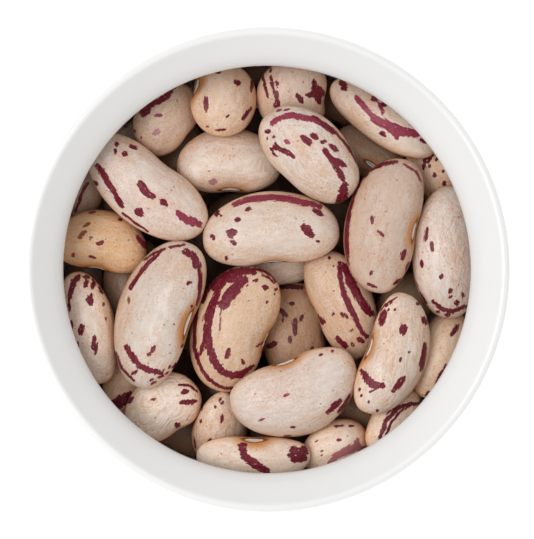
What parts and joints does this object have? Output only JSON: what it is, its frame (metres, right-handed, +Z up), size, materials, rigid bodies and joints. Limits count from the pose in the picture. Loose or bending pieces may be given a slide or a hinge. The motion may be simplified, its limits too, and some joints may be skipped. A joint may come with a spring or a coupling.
{
  "type": "bowl of dried beans",
  "caption": "Small round white porcelain bowl on a foot ring, filled with speckled dried borlotti beans to below its rim.",
  "frame": {"origin": "centre of the foot ring on the surface that the bowl stands on, under the centre of the rim", "axes": "+Z up out of the bowl; the bowl is round about Z, and +Y is away from the viewer in the plan view of the beans"},
  "size_m": [0.06, 0.06, 0.029],
  "materials": {
    "glazed_porcelain": "gloss white glaze",
    "dried_beans": "satin seed coats, cream to tan with maroon marks"
  },
  "bodies": {
    "root": {"bowl": "glazed_porcelain", "beans": "dried_beans"}
  },
  "joints": []
}
